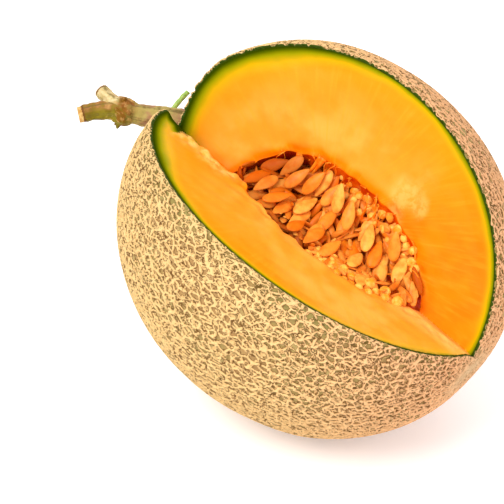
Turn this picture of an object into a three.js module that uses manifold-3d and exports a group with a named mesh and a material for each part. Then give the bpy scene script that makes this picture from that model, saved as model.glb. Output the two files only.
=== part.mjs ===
// A netted muskmelon that lies on its side, with a wedge cut out lengthwise.
// Millimetres, +Z up. The origin is the centre of the flat spot that the fruit rests on.
import * as THREE from 'three';
import { mergeVertices } from 'three/addons/utils/BufferGeometryUtils.js';
import Module from 'manifold-3d';

const wasm = await Module();
wasm.setup();

const DEGREE = Math.PI / 180;
const GAP = 0.3;                    // between pieces that touch

// The whole fruit, before it is cut. Its own frame has +Y along the core towards the
// stem, +Z towards the middle of the missing wedge and +X to the side of the far cut.
const FRUIT_RADIUS = 74;
const FRUIT_HALF_LENGTH = 80.7;
const STEM_DIMPLE_DEPTH = 12;
const STEM_DIMPLE_RADIUS = 17;
const BLOSSOM_DIMPLE_DEPTH = 1.6;
const BLOSSOM_DIMPLE_RADIUS = 10;
const SKIN_STEPS_ROUND = 60;
const SKIN_STEPS_ALONG = 44;

// How it lies: the stem end is lifted, and the fruit is rolled about its core.
const STEM_HEADING = 140;           // degrees, seen from above, from +X towards +Y
const STEM_LIFT = 25;
const OPENING_ROLL = -25.6;
const REST_SPOT_RADIUS = 18;

// The missing wedge. Its two cuts meet in a straight valley beside the core.
const WEDGE_ANGLE = 94;
const VALLEY_SIDE = 1.2;
const VALLEY_RISE = 13;
const VALLEY_SKEW = 2.2;            // degrees between valley and core, seen into the opening
const VALLEY_PITCH = -1.4;          // degrees between valley and core, seen from the side

// The seed cavity is an egg-shaped hollow. What the knife left of the pulp fills it up to
// a rounded trough a little below the two cuts.
const CAVITY_RADIUS = 34;
const CAVITY_HALF_LENGTH = 50.5;
const CAVITY_SLIDE = -5.5;           // of its middle from the middle of the fruit, along the core
const PULP_RECESS = 6;              // of the pulp below each cut, square to the cut
const PULP_TROUGH_RADIUS = 22;

// Seeds: flat teardrops that lie on the pulp and on each other, narrow ends to the far wall.
const SEED_COUNT = 54;
const SEED_LENGTH = 12;
const SEED_WIDTH = 5.2;
const SEED_THICKNESS = 2.1;
const SEED_FAN = -42;               // degrees that their direction turns from the middle to the stem end
const SEED_SCATTER = 24;            // degrees of scatter about that direction
const SEED_TILT = 20;               // degrees of scatter out of the pulp surface
const SEED_REACH = 80;              // degrees to each side of the trough's foot that seeds lie at
const SEED_PILE = 7;                // the highest that the first seeds lie above the trough
const SEED_PILE_GROWTH = 0.0005;    // what each try that fails adds to that
const SEED_STEP = 0.4;              // between the heights that are tried
const WALL_MARGIN = 1;              // of the seeds to the cavity's wall, more than its facets lose

// The stem grows out of the dimple, bends to one side and forks at a knot. Its points are
// measured from the seat, the deepest point of the dimple, in the fruit's own frame.
const STEM_ROUTE = [
  [0, -10.7, 0], [-0.5, 1.3, 0.3], [-5, 9.8, 0.8], [-11.5, 17.8, 1.4], [-18, 25.8, 2.4], [-24, 31.8, 2.6], [-31.5, 36.3, 2.4],
];
const STEM_BASE_RADIUS = 6.6;
const STEM_NECK_RADIUS = 5.1;
const STEM_TIP_RADIUS = 3.3;
const STEM_FLARE_SHARE = 0.3;       // of the route, from the seat
const BRANCH_ROUTE = [[-16.5, 25.3, 3], [-17.5, 31.3, 2.6], [-17, 38.8, 2]];
const BRANCH_RADIUS = 3.1;
const KNOT_PLACE = [-17.2, 25.3, 2.4];
const KNOT_RADII = [5.9, 6.2, 6];

// A thin side stalk stands behind the stem's foot. Its third value is measured from there.
const STALK_ROUTE = [[-4, -10.7, 0], [-4, 5.3, 0], [-2, 14.5, 1.6], [4, 16.1, 3.6], [10.7, 16.4, 5.4]];
const STALK_RADIUS = 1.1;
const STALK_CLEARANCE = 1.3;        // to the stem's foot

const COLOURS = { flesh: 0xffa41c, seed: 0xe9963a, stem: 0x9a9a52, stalk: 0xa8c060 };

// ---- solids ----

function solidOf(geometry) {
  const bare = geometry.clone();
  bare.deleteAttribute('normal');
  bare.deleteAttribute('uv');
  const merged = mergeVertices(bare, 1e-3);
  const corners = merged.index.array;
  const triangles = [];
  for (let i = 0; i < corners.length; i += 3) {
    const [a, b, c] = [corners[i], corners[i + 1], corners[i + 2]];
    if (a !== b && b !== c && c !== a) triangles.push(a, b, c);
  }
  return new wasm.Manifold(new wasm.Mesh({
    numProp: 3,
    vertProperties: new Float32Array(merged.attributes.position.array),
    triVerts: new Uint32Array(triangles),
  }));
}

function geometryOf(solid) {
  const mesh = solid.getMesh();
  const geometry = new THREE.BufferGeometry();
  geometry.setAttribute('position', new THREE.BufferAttribute(mesh.vertProperties, 3));
  geometry.setIndex(new THREE.BufferAttribute(mesh.triVerts, 1));
  geometry.computeVertexNormals();
  return geometry;
}

function named(name, geometry, colour, roughness) {
  const material = new THREE.MeshStandardMaterial({ color: colour, roughness, metalness: 0 });
  const mesh = new THREE.Mesh(geometry, material);
  mesh.name = name;
  return mesh;
}

const seat = new THREE.Vector3(0, FRUIT_HALF_LENGTH - STEM_DIMPLE_DEPTH, 0);

// A round closed limb along a route from the seat, with its radius at each share of its length.
function limb(route, radiusAt, stepsAlong, stepsRound) {
  const curve = new THREE.CatmullRomCurve3(route.map((point) => new THREE.Vector3(...point).add(seat)));
  const frames = curve.computeFrenetFrames(stepsAlong, false);
  const geometry = new THREE.CylinderGeometry(1, 1, 1, stepsRound, stepsAlong);
  const place = geometry.attributes.position;
  for (let i = 0; i < place.count; i += 1) {
    const share = place.getY(i) + 0.5;
    const step = Math.round(share * stepsAlong);
    const radius = radiusAt(share);
    const point = curve.getPointAt(share)
      .addScaledVector(frames.binormals[step], place.getX(i) * radius)
      .addScaledVector(frames.normals[step], place.getZ(i) * radius);
    place.setXYZ(i, point.x, point.y, point.z);
  }
  return geometry;
}

// ---- how the fruit lies, and where the valley is in it ----

const liftSine = Math.sin(STEM_LIFT * DEGREE);
const restHeight = Math.hypot(FRUIT_RADIUS * Math.cos(STEM_LIFT * DEGREE), FRUIT_HALF_LENGTH * liftSine);
const restSlide = (FRUIT_HALF_LENGTH ** 2 - FRUIT_RADIUS ** 2) * liftSine * Math.cos(STEM_LIFT * DEGREE) / restHeight;
const restShare = Math.sqrt(1 - (REST_SPOT_RADIUS / FRUIT_RADIUS) ** 2);

const fruit = new THREE.Group();
fruit.rotation.set(STEM_LIFT * DEGREE, OPENING_ROLL * DEGREE, (STEM_HEADING - 90) * DEGREE, 'ZXY');
fruit.position.set(
  restShare * restSlide * Math.cos(STEM_HEADING * DEGREE),
  restShare * restSlide * Math.sin(STEM_HEADING * DEGREE),
  restShare * restHeight,
);

const valley = new THREE.Group();
valley.rotation.set(VALLEY_PITCH * DEGREE, 0, VALLEY_SKEW * DEGREE, 'ZXY');
valley.position.set(VALLEY_SIDE, 0, VALLEY_RISE);
fruit.add(valley);
fruit.updateMatrixWorld(true);

// ---- rind and flesh, grown as one ----

function skin(grow) {
  const outline = [];
  for (let i = 0; i <= SKIN_STEPS_ALONG; i += 1) {
    const angle = Math.PI * (1 - i / SKIN_STEPS_ALONG);
    const radius = i === 0 || i === SKIN_STEPS_ALONG ? 0 : (FRUIT_RADIUS + grow) * Math.sin(angle);
    const stemDimple = STEM_DIMPLE_DEPTH * Math.exp(-((radius / STEM_DIMPLE_RADIUS) ** 2));
    const blossomDimple = BLOSSOM_DIMPLE_DEPTH * Math.exp(-((radius / BLOSSOM_DIMPLE_RADIUS) ** 2));
    const dimple = angle < Math.PI / 2 ? -stemDimple : blossomDimple;
    outline.push(new THREE.Vector2(radius, (FRUIT_HALF_LENGTH + grow) * Math.cos(angle) + dimple));
  }
  return new THREE.LatheGeometry(outline, SKIN_STEPS_ROUND);
}

// A long prism along the valley, open towards +Z, whose sides stand at the wedge's angle.
// Its foot lies `sink` below the valley and is rounded where `round` is more than zero.
function troughShape(sink, round) {
  const half = WEDGE_ANGLE / 2 * DEGREE;
  const reach = 3 * FRUIT_RADIUS;
  const shape = new THREE.Shape();
  shape.moveTo(reach * Math.sin(half), reach * Math.cos(half) - sink);
  shape.lineTo(-reach * Math.sin(half), reach * Math.cos(half) - sink);
  if (round > 0) {
    shape.absarc(0, round / Math.sin(half) - sink, round, Math.PI + half, 2 * Math.PI - half, false);
  } else {
    shape.lineTo(0, -sink);
  }
  shape.closePath();
  return shape;
}

function trough(sink, round) {
  const length = 4 * FRUIT_HALF_LENGTH;
  const geometry = new THREE.ExtrudeGeometry(troughShape(sink, round), { depth: length, bevelEnabled: false, curveSegments: 10 });
  geometry.translate(0, 0, -length / 2);
  geometry.rotateX(Math.PI / 2);
  return geometry;
}

const pulpSink = PULP_RECESS / Math.sin(WEDGE_ANGLE / 2 * DEGREE);

function inFruit(geometry) {
  return solidOf(geometry.clone().applyMatrix4(valley.matrix));
}

function cavity() {
  const egg = new THREE.SphereGeometry(CAVITY_RADIUS, 32, 20);
  egg.scale(1, CAVITY_HALF_LENGTH / CAVITY_RADIUS, 1);
  egg.translate(-VALLEY_SIDE, CAVITY_SLIDE, -VALLEY_RISE);
  return inFruit(egg);
}

function tableSide() {
  const depth = 2 * FRUIT_RADIUS;
  const block = new THREE.BoxGeometry(4 * FRUIT_HALF_LENGTH, 4 * FRUIT_HALF_LENGTH, depth);
  block.translate(0, 0, -depth / 2);
  return solidOf(block.applyMatrix4(fruit.matrix.clone().invert()));
}

const melonSolid = solidOf(skin(0))
  .subtract(inFruit(trough(0, 0)))
  .subtract(cavity().intersect(inFruit(trough(pulpSink, PULP_TROUGH_RADIUS))))
  .subtract(tableSide());
fruit.add(named('cut_melon', geometryOf(melonSolid), COLOURS.flesh, 0.45));

// ---- stem and side stalk ----

function mix(from, to, share) {
  return from + (to - from) * share;
}

function stemRadius(share) {
  if (share < STEM_FLARE_SHARE) return mix(STEM_BASE_RADIUS, STEM_NECK_RADIUS, share / STEM_FLARE_SHARE);
  return mix(STEM_NECK_RADIUS, STEM_TIP_RADIUS, (share - STEM_FLARE_SHARE) / (1 - STEM_FLARE_SHARE));
}

const stemLimb = limb(STEM_ROUTE, stemRadius, 20, 14);
const branchLimb = limb(BRANCH_ROUTE, () => BRANCH_RADIUS, 5, 12);
const knot = new THREE.SphereGeometry(1, 14, 9).scale(...KNOT_RADII);
knot.translate(KNOT_PLACE[0], KNOT_PLACE[1] + seat.y, KNOT_PLACE[2]);
const grownSkin = solidOf(skin(GAP));
const stemSolid = solidOf(stemLimb).add(solidOf(branchLimb)).add(solidOf(knot)).subtract(grownSkin);
fruit.add(named('stem', geometryOf(stemSolid), COLOURS.stem, 0.75));

const stalkBack = STEM_BASE_RADIUS + STALK_RADIUS + STALK_CLEARANCE;
const stalkLimb = limb(STALK_ROUTE.map(([x, y, z]) => [x, y, z - stalkBack]), () => STALK_RADIUS, 12, 8);
const stalkSolid = solidOf(stalkLimb).subtract(grownSkin);
fruit.add(named('side_stalk', geometryOf(stalkSolid), COLOURS.stalk, 0.6));

// ---- seeds ----

function seedGeometry() {
  const outline = [];
  const steps = 7;
  for (let i = 0; i <= steps; i += 1) {
    const angle = Math.PI * (1 - i / steps);
    const blunt = 1 - 0.1 * Math.cos(angle) - 0.34 * Math.max(Math.cos(angle), 0);
    const radius = i === 0 || i === steps ? 0 : SEED_WIDTH / 2 * Math.sin(angle) * blunt;
    outline.push(new THREE.Vector2(radius, SEED_LENGTH / 2 * Math.cos(angle)));
  }
  const geometry = new THREE.LatheGeometry(outline, 8);
  return geometry.scale(1, 1, SEED_THICKNESS / SEED_WIDTH);
}

function repeatable(start) {
  let state = start;
  return () => {
    state = (state + 0x6d2b79f5) | 0;
    let word = Math.imul(state ^ (state >>> 15), 1 | state);
    word = (word + Math.imul(word ^ (word >>> 7), 61 | word)) ^ word;
    return ((word ^ (word >>> 14)) >>> 0) / 4294967296;
  };
}

// Each seed is kept apart from the others as the smooth flat egg that holds it.
const seedHalf = new THREE.Vector3(SEED_WIDTH, SEED_LENGTH, SEED_THICKNESS).multiplyScalar(0.5).addScalar(GAP / 2);
const eggPoints = Array.from(new THREE.IcosahedronGeometry(1, 2).attributes.position.array);

function eggSurface(matrix) {
  const points = [];
  for (let i = 0; i < eggPoints.length; i += 9) {
    points.push(new THREE.Vector3(eggPoints[i], eggPoints[i + 1], eggPoints[i + 2]).multiply(seedHalf).applyMatrix4(matrix));
  }
  return points;
}

function reachesInto(points, inverse) {
  const local = new THREE.Vector3();
  return points.some((point) => local.copy(point).applyMatrix4(inverse).divide(seedHalf).lengthSq() < 1);
}

const halfAngle = WEDGE_ANGLE / 2 * DEGREE;
const troughCentre = PULP_TROUGH_RADIUS / Math.sin(halfAngle) - pulpSink;

// Says whether a point in the valley's frame is inside the hollow, clear of its walls.
function inHollow(point) {
  const belowSides = point.z < troughCentre - PULP_TROUGH_RADIUS * Math.sin(halfAngle);
  const fromFoot = PULP_TROUGH_RADIUS - Math.hypot(point.x, point.z - troughCentre);
  const fromSides = (point.z + pulpSink) * Math.sin(halfAngle) - Math.abs(point.x) * Math.cos(halfAngle);
  const across = Math.hypot(point.x + VALLEY_SIDE, point.z + VALLEY_RISE) / (CAVITY_RADIUS - WALL_MARGIN);
  const along = (point.y - CAVITY_SLIDE) / (CAVITY_HALF_LENGTH - WALL_MARGIN);
  return across ** 2 + along ** 2 < 1 && (belowSides ? fromFoot : fromSides) > GAP / 2;
}

// Seeds are laid one by one: each takes the lowest free place over a spot chosen by chance.
function placeSeeds() {
  const random = repeatable(7);
  const either = () => 2 * random() - 1;
  const spread = () => random() + random() - 1;
  const placed = [];
  for (let tries = 0; placed.length < SEED_COUNT; tries += 1) {
    const along = CAVITY_SLIDE + either() * CAVITY_HALF_LENGTH;
    const turn = either() * SEED_REACH * DEGREE;
    const up = new THREE.Vector3(-Math.sin(turn), 0, Math.cos(turn));
    const across = new THREE.Vector3(Math.cos(turn), 0, Math.sin(turn));
    const heading = (SEED_FAN * along / CAVITY_HALF_LENGTH + SEED_SCATTER * spread()) * DEGREE;
    const axis = across.clone().multiplyScalar(Math.cos(heading)).add(new THREE.Vector3(0, Math.sin(heading), 0));
    axis.addScaledVector(up, Math.tan(SEED_TILT * spread() * DEGREE)).normalize();
    const side = new THREE.Vector3().crossVectors(axis, up).normalize();
    const turned = new THREE.Matrix4().makeBasis(side, axis, new THREE.Vector3().crossVectors(side, axis));
    const highest = SEED_PILE + SEED_PILE_GROWTH * tries;
    for (let height = -PULP_RECESS; height < highest; height += SEED_STEP) {
      const place = new THREE.Vector3(0, along, troughCentre).addScaledVector(up, height - PULP_TROUGH_RADIUS);
      const matrix = turned.clone().setPosition(place);
      const inverse = matrix.clone().invert();
      const points = eggSurface(matrix);
      const clear = points.every(inHollow)
        && !placed.some((other) => reachesInto(points, other.inverse) || reachesInto(other.points, inverse));
      if (clear) {
        placed.push({ matrix, inverse, points });
        break;
      }
    }
  }
  return placed;
}

const seedShape = geometryOf(solidOf(seedGeometry()));
placeSeeds().forEach((seed, i) => {
  const mesh = named(`seed_${String(i + 1).padStart(2, '0')}`, seedShape, COLOURS.seed, 0.4);
  seed.matrix.decompose(mesh.position, mesh.quaternion, mesh.scale);
  valley.add(mesh);
});

const melon = new THREE.Group();
melon.add(fruit);

export default melon;
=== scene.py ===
# A cut netted muskmelon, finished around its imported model. Metres, +Z up, with the origin
# at the centre of the flat spot that the fruit rests on.
import math

import bmesh
import bpy
import numpy as np
from mathutils import Matrix, Vector


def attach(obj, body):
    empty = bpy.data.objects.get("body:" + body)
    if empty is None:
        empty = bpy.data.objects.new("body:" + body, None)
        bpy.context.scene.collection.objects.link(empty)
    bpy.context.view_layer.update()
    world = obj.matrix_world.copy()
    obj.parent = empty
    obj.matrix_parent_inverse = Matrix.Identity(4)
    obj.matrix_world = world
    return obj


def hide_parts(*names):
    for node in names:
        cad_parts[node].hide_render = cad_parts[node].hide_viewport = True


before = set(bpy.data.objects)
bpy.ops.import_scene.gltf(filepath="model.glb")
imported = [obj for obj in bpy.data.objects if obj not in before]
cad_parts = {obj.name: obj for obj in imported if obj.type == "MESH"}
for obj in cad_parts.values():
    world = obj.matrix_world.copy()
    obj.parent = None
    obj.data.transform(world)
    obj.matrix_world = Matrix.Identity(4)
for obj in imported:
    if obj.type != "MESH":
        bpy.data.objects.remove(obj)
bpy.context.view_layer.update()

MM = 0.001
DEGREE = math.pi / 180

# The whole fruit, as the frame has it. Its own frame has +Y along the core towards the stem,
# +Z towards the middle of the missing wedge and +X to the side of the far cut.
FRUIT_RADIUS = 74 * MM
FRUIT_HALF_LENGTH = 80.7 * MM
STEM_DIMPLE_DEPTH = 12 * MM
STEM_DIMPLE_RADIUS = 17 * MM
BLOSSOM_DIMPLE_DEPTH = 1.6 * MM
BLOSSOM_DIMPLE_RADIUS = 10 * MM
STEM_HEADING = 140 * DEGREE
STEM_LIFT = 25 * DEGREE
OPENING_ROLL = -25.6 * DEGREE
REST_SPOT_RADIUS = 18 * MM

# The missing wedge, whose two cuts meet in a straight valley beside the core.
WEDGE_HALF_ANGLE = 47 * DEGREE
VALLEY_PLACE = (1.2 * MM, 0, 13 * MM)
VALLEY_SKEW = 2.2 * DEGREE
VALLEY_PITCH = -1.4 * DEGREE

# The seed cavity, and the trough that the pulp fills it up to.
CAVITY_RADIUS = 34 * MM
CAVITY_HALF_LENGTH = 50.5 * MM
CAVITY_SLIDE = -5.5 * MM
PULP_RECESS = 6 * MM
PULP_TROUGH_RADIUS = 22 * MM

# Where the wedge broke away instead of being cut, at the two ends of the valley: the far cut
# runs on below the valley, and the flesh of the near cut is torn off up to a ridge. For the
# stem end and the blossom end: how deep, how wide on the near cut, and where along the
# core it starts and is full.
BREAK_DEPTHS = (8 * MM, 1.8 * MM)
BREAK_WIDTHS = (15.5 * MM, 4.5 * MM)
BREAK_STARTS = (22 * MM, -34 * MM)
BREAK_FULLS = (36 * MM, -46 * MM)
BREAK_FAR_WIDTH = 24 * MM
# Above this place along the core the ridge is the skin of the stem's dimple.
DIMPLE_EDGE = 61.5 * MM
# The hollow under the far lip, at the cavity's stem end.
HOLLOW_DEPTH = 12 * MM
HOLLOW_PLACE = (9 * MM, 29 * MM)
HOLLOW_RADIUS = 11 * MM

# The skin.
RIND_THICKNESS = 1.1 * MM
NET_CELL = 2.4 * MM
NET_SHORTENING = 0.66       # the cells are longer along the core than round it
THREAD_CELL = 1.6 * MM
BEND_SIZE = 2.8 * MM        # how the cords wander: over what length and how far
BEND_REACH = 1.9 * MM
NET_HEIGHT = 1.15 * MM
NET_SINK = 0.45             # the share of that height by which the skin between cords is sunk
SCAR_OFFSET = (2 * MM, 3 * MM)      # of the bare patch round the blossom end, from the core
SCAR_RADIUS = 20 * MM
RIND_GORES = 7
RIND_ROWS = 760
RIND_COLUMNS = 120          # of each gore
INNER_COLUMNS = 9           # of each gore's inner wall
LUMP_HEIGHT = 0.45 * MM     # the whole fruit is a little uneven
LUMP_SIZE = 95 * MM

# The flesh.
FLESH_ROWS = 300
FACE_COLUMNS = 62
FLOOR_COLUMNS = 140
HIDDEN_COLUMNS = 40
HIDDEN_SINK = 1.8 * MM      # how much deeper the flesh starts where the skin hides it
POCKET_DEPTH = 3.2 * MM
LIP_ROLL = 2.8 * MM         # how far from the cavity's lip a cut face rolls over
LIP_RIDGES = 9 * MM         # and how far it is ridged
LIP_BLUSH = 2.6 * MM        # how far the pulp's red soaks into the far cut from its lip
FAR_TEAR = (30 * MM, -24 * MM, 13 * MM, 8 * MM)    # from the valley, along it, and the half sizes

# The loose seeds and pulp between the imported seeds.
LOOSE_SEED_SPACING = 3 * MM
LOOSE_SEED_SIZES = (10.5 * MM, 4.4 * MM, 1.9 * MM)
LOOSE_SEED_LIFT = 2.9 * MM
BEAD_SPACING = 3.1 * MM
BEAD_SIZES = (5.6 * MM, 3.7 * MM, 4.1 * MM)
STRAND_COUNT = 44
# Three thicker strands: the row at the far lip, then the row and column on the floor.
LONG_STRANDS = ((92, 78, 92), (97, 84, 100), (60, 66, 84))

# The stem, from a seat on the core just inside the skin, and its knot.
STEM_SEAT = (0, 68.7 * MM, 0)
STEM_ROUTE = [(0, -10.7, 0), (-0.5, 1.3, 0.3), (-5, 9.8, 0.8), (-11.5, 17.8, 1.4),
              (-18, 25.8, 2.4), (-24, 31.8, 2.6), (-31.5, 36.3, 2.4)]
BRANCH_ROUTE = [(-16.5, 25.3, 3), (-17.5, 31.3, 2.6), (-17, 38.8, 2)]
KNOT_PLACE = (-17.2, 25.3, 2.4)
KNOT_RADIUS = 6 * MM
SPUR_HEADINGS = ((-0.1, -0.35, 1), (0.15, -0.3, 1), (-0.35, -0.4, -1), (0.5, -0.9, 0.3))
STEM_GRAIN = 0.32 * MM      # the spacing of its points
ROUTE_STEPS = 12            # from one corner of a route to the next

# How strongly the juicy surfaces reflect.
WET_IOR = 1.22

# The floor and the camera.
FLOOR_HALF_WIDTH = 3.0
CAMERA_TILT = 30 * DEGREE
CAMERA_DISTANCE = 0.592
CAMERA_LENS = 107.5
AIM_RIGHT = -25 * MM
AIM_UP = -5.3 * MM


# ---- places ----

def turn(axis, angle):
    return np.array(Matrix.Rotation(angle, 3, axis))


lift_sine = math.sin(STEM_LIFT)
lift_cosine = math.cos(STEM_LIFT)
rest_height = math.hypot(FRUIT_RADIUS * lift_cosine, FRUIT_HALF_LENGTH * lift_sine)
rest_slide = (FRUIT_HALF_LENGTH ** 2 - FRUIT_RADIUS ** 2) * lift_sine * lift_cosine / rest_height
rest_share = math.sqrt(1 - (REST_SPOT_RADIUS / FRUIT_RADIUS) ** 2)
FRUIT_MIDDLE = rest_share * np.array([
    rest_slide * math.cos(STEM_HEADING), rest_slide * math.sin(STEM_HEADING), rest_height])
FRUIT_AXES = turn("Z", STEM_HEADING - math.pi / 2) @ turn("X", STEM_LIFT) @ turn("Y", OPENING_ROLL)
VALLEY_AXES = turn("Z", VALLEY_SKEW) @ turn("X", VALLEY_PITCH)


def valley_to_fruit(points):
    return points @ VALLEY_AXES.T + np.array(VALLEY_PLACE)


def fruit_to_world(points):
    return points @ FRUIT_AXES.T + FRUIT_MIDDLE


def world_to_fruit(points):
    return (points - FRUIT_MIDDLE) @ FRUIT_AXES


def fruit_to_valley(points):
    return (points - np.array(VALLEY_PLACE)) @ VALLEY_AXES


def smooth_step(value):
    value = np.clip(value, 0, 1)
    return value * value * (3 - 2 * value)


def break_share(along):
    """How far the stem end's and the blossom end's breaks are open at places along the core."""
    ends = zip(BREAK_STARTS, BREAK_FULLS)
    return [smooth_step((along - start) / (full - start)) for start, full in ends]


def ridge_width(along):
    """How far from the valley the near cut is torn off."""
    shares = break_share(along)
    width = sum(share * width for share, width in zip(shares, BREAK_WIDTHS)) + 1 * MM
    width = width - 5 * MM * smooth_step((along - 60 * MM) / (14 * MM))
    return width * (1 + 0.1 * np.sin(along / (1.9 * MM)) * np.sin(along / (4.3 * MM)))


def hollow_share(across, along):
    """How far the hollow under the far lip is sunk at places on the cavity's floor."""
    reach = ((across - HOLLOW_PLACE[0]) ** 2 + (along - HOLLOW_PLACE[1]) ** 2) / HOLLOW_RADIUS ** 2
    return np.exp(-reach)


def settle(points):
    """Carries points in the valley's frame from the clean packed cuts to the torn ones."""
    across, along, up = points[..., 0], points[..., 1], points[..., 2]
    sine, cosine = math.sin(WEDGE_HALF_ANGLE), math.cos(WEDGE_HALF_ANGLE)
    from_valley = np.hypot(across, up)
    far_side = smooth_step(across / (from_valley + 1e-9) * 0.5 + 0.5)
    width = ridge_width(along) * (1 - far_side) + BREAK_FAR_WIDTH * far_side
    depth = sum(share * depth for share, depth in zip(break_share(along), BREAK_DEPTHS))
    fall = depth * np.maximum(0, 1 - from_valley / width)
    under = (np.abs(across) / math.tan(WEDGE_HALF_ANGLE) - up) * sine
    in_pulp = smooth_step(under / (6 * MM)) * smooth_step((26 * MM - under) / (10 * MM))
    sink = HOLLOW_DEPTH * hollow_share(across, along) * in_pulp
    return points - np.stack([fall * sine, 0 * fall, fall * cosine + sink], axis=-1)


def valley_to_world(points):
    return fruit_to_world(valley_to_fruit(settle(points)))


def settle_shift(point):
    """How far a small thing at a place in the world is carried with the flesh under it."""
    return valley_to_world(fruit_to_valley(world_to_fruit(point))) - point


# ---- camera, floor and light ----

def add_object(name, data):
    """An object in the scene for its data."""
    thing = bpy.data.objects.new(name, data)
    bpy.context.scene.collection.objects.link(thing)
    return thing


def add_camera():
    data = bpy.data.cameras.new("camera")
    data.lens = CAMERA_LENS
    data.sensor_width = 36
    data.dof.use_dof = False
    camera = add_object("camera", data)
    right = np.array([1, 0, 0])
    up = np.array([0, math.sin(CAMERA_TILT), math.cos(CAMERA_TILT)])
    toward = np.array([0, -math.cos(CAMERA_TILT), math.sin(CAMERA_TILT)])
    camera.location = FRUIT_MIDDLE + AIM_RIGHT * right + AIM_UP * up + CAMERA_DISTANCE * toward
    camera.rotation_euler = (math.pi / 2 - CAMERA_TILT, 0, 0)
    bpy.context.scene.camera = camera


def add_lamp(name, place, aim, size, power, colour=(1, 1, 1)):
    data = bpy.data.lights.new(name, "AREA")
    data.shape = "DISK"
    data.size = size
    data.energy = power
    data.color = colour
    lamp = add_object(name, data)
    lamp.location = place
    lamp.rotation_euler = (Vector(aim) - Vector(place)).to_track_quat("-Z", "Y").to_euler()


def light_studio():
    world = bpy.data.worlds.new("studio")
    bpy.context.scene.world = world
    world.use_nodes = True
    sky = world.node_tree.nodes["Background"]
    Tree(world.node_tree).feed(sky, {"Color": (1, 1, 1, 1), "Strength": 0.75})
    middle = tuple(FRUIT_MIDDLE)
    add_lamp("key_light", (-0.55, -0.55, 0.95), middle, 0.7, 11, (1, 0.985, 0.96))
    add_lamp("fill_light", (0.8, -0.7, 0.5), middle, 1.1, 5)
    add_lamp("back_light", (0.2, 0.9, 0.8), middle, 0.9, 2.6)
    bpy.context.scene.view_settings.view_transform = "Standard"


# ---- meshes from grids ----

def mesh_object(name, points, faces, **attributes):
    """A mesh object with smooth faces and a value for each point under each attribute's name."""
    mesh = bpy.data.meshes.new(name)
    faces = faces.tolist() if isinstance(faces, np.ndarray) else faces
    mesh.from_pydata(points.tolist(), [], faces)
    piece = add_object(name, mesh)
    for key, values in attributes.items():
        store(piece, key, values)
    smooth_faces(piece)
    return piece


def store(piece, name, values):
    """Keeps a number or a direction for each point of a piece under a name."""
    directions = np.ndim(values) == 2
    layer = piece.data.attributes.new(name, "FLOAT_VECTOR" if directions else "FLOAT", "POINT")
    layer.data.foreach_set("vector" if directions else "value", np.ravel(values))


def smooth_faces(piece):
    piece.data.polygons.foreach_set("use_smooth", [True] * len(piece.data.polygons))


def strip_faces(ids):
    """Quads over a grid of point numbers, by rows and columns."""
    quads = np.stack([ids[:-1, :-1], ids[:-1, 1:], ids[1:, 1:], ids[1:, :-1]], axis=-1)
    return quads.reshape(-1, 4)


def number_grids(grids):
    """The point numbers of several grids that are laid one after another."""
    ids = []
    count = 0
    for grid in grids:
        size = grid.shape[0] * grid.shape[1]
        ids.append(count + np.arange(size).reshape(grid.shape[:2]))
        count += size
    return ids


def weld(piece, distance):
    """Joins the points that share a place and turns all faces outwards."""
    work = bmesh.new()
    work.from_mesh(piece.data)
    bmesh.ops.remove_doubles(work, verts=work.verts, dist=distance)
    bmesh.ops.dissolve_degenerate(work, edges=work.edges, dist=distance / 10)
    bmesh.ops.recalc_face_normals(work, faces=work.faces)
    work.to_mesh(piece.data)
    work.free()
    smooth_faces(piece)


# ---- the skin as a shape ----

def skin_value(points, grow):
    """Less than zero inside the whole fruit grown by `grow`, for points in the fruit's frame."""
    across = np.hypot(points[..., 0], points[..., 2])
    along = points[..., 1]
    stem_dimple = STEM_DIMPLE_DEPTH * np.exp(-(across / STEM_DIMPLE_RADIUS) ** 2)
    blossom_dimple = BLOSSOM_DIMPLE_DEPTH * np.exp(-(across / BLOSSOM_DIMPLE_RADIUS) ** 2)
    raised = np.where(along > 0, along + stem_dimple, along - blossom_dimple)
    return (across / (FRUIT_RADIUS + grow)) ** 2 + (raised / (FRUIT_HALF_LENGTH + grow)) ** 2 - 1


def skin_slope(points):
    """The gradient of the skin's growth at points in the fruit's frame."""
    step = 0.2 * MM
    parts = []
    for axis in range(3):
        shift = np.zeros(3)
        shift[axis] = step
        ahead = np.sqrt(skin_value(points + shift, 0) + 1)
        behind = np.sqrt(skin_value(points - shift, 0) + 1)
        parts.append((ahead - behind) / (2 * step))
    return np.stack(parts, axis=-1)


def skin_depth(points):
    """How deep points in the fruit's frame lie under the skin, nearly."""
    slope = np.linalg.norm(skin_slope(points), axis=-1)
    return (1 - np.sqrt(skin_value(points, 0) + 1)) / np.maximum(slope, 0.5 / FRUIT_RADIUS)


def skin_outward(points):
    """The outward direction at points in the fruit's frame."""
    slope = skin_slope(points)
    return slope / np.linalg.norm(slope, axis=-1, keepdims=True)


def ray_directions(turns, swings):
    """Directions in the valley's frame: `turns` about the valley from +Z towards +X, and
    `swings` from its stem end. One row for each swing and one column for each turn."""
    turns = np.asarray(turns)[None, :]
    swings = np.asarray(swings)[:, None]
    return np.stack([
        np.sin(swings) * np.sin(turns),
        np.cos(swings) + 0 * turns,
        np.sin(swings) * np.cos(turns)], axis=-1)


def from_cuts(points):
    """How far points in the valley's frame lie outside the two cuts."""
    turned = np.arctan2(points[..., 0], points[..., 2]) % (2 * math.pi)
    nearest = np.minimum(turned - WEDGE_HALF_ANGLE, 2 * math.pi - WEDGE_HALF_ANGLE - turned)
    return np.hypot(points[..., 0], points[..., 2]) * np.sin(np.clip(nearest, 0, math.pi / 2))


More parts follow.
